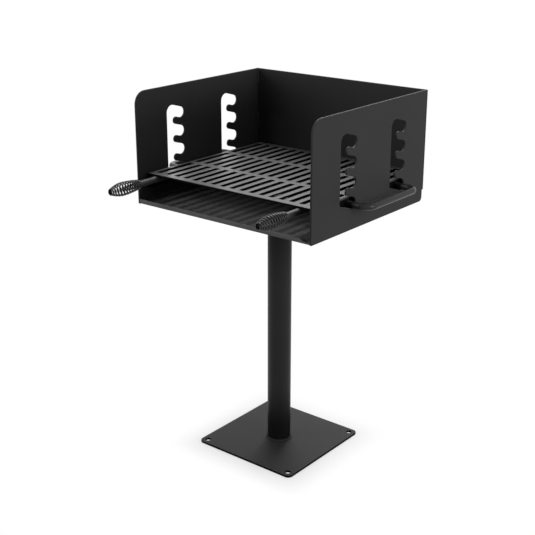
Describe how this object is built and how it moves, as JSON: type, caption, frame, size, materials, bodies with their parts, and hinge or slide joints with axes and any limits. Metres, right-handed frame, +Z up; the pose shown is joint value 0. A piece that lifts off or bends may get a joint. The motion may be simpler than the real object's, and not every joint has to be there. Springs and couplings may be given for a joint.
{
  "type": "park barbecue grill",
  "caption": "Open-fronted steel firebox that swivels on a bolted-down post, with a lift-out cooking grate hooked into slotted sides and coil-grip handles.",
  "frame": {"origin": "the post's axis at the underside of the base plate", "axes": "+Z up along the post, -Y out of the firebox's open front, +X to the right seen from the front"},
  "size_m": [0.629, 0.5868, 0.924],
  "materials": {
    "black_coat": "satin black baked coating with a fine texture, on mild steel",
    "grate_coat": "satin black high-heat coating on mild steel",
    "grip_wire": "dark coated spring wire",
    "zinc_hardware": "dulled zinc-plated fastener"
  },
  "bodies": {
    "pedestal": {"base_plate": "black_coat", "foot_weld": "black_coat", "post_pipe": "black_coat", "post_cap": "black_coat", "pivot_nut": "zinc_hardware", "pivot_bolt": "zinc_hardware", "pivot_washer": "zinc_hardware"},
    "firebox": {"swivel_collar": "black_coat", "collar_weld": "black_coat", "firebox_floor": "black_coat", "left_side_panel": "black_coat", "right_side_panel": "black_coat", "back_panel": "black_coat", "corner_welds": "black_coat", "floor_welds": "black_coat"},
    "grate": {"cooking_grate": "grate_coat", "left_bail": "grate_coat", "right_bail": "grate_coat", "bail_welds": "grate_coat", "left_handle_rod": "grate_coat", "right_handle_rod": "grate_coat", "rod_welds": "grate_coat", "left_coil_grip": "grip_wire", "right_coil_grip": "grip_wire"}
  },
  "joints": [
    {"name": "firebox_swivel", "type": "hinge", "parent": "pedestal", "child": "firebox", "pos_m": [0, 0, 0.65], "axis": [0, 0, 1], "continuous": true},
    {"name": "grate_unhook", "type": "slide", "parent": "firebox", "child": "grate", "axis": [0, -0.9613, 0.2756], "range_m": [0, 0.041]}
  ]
}
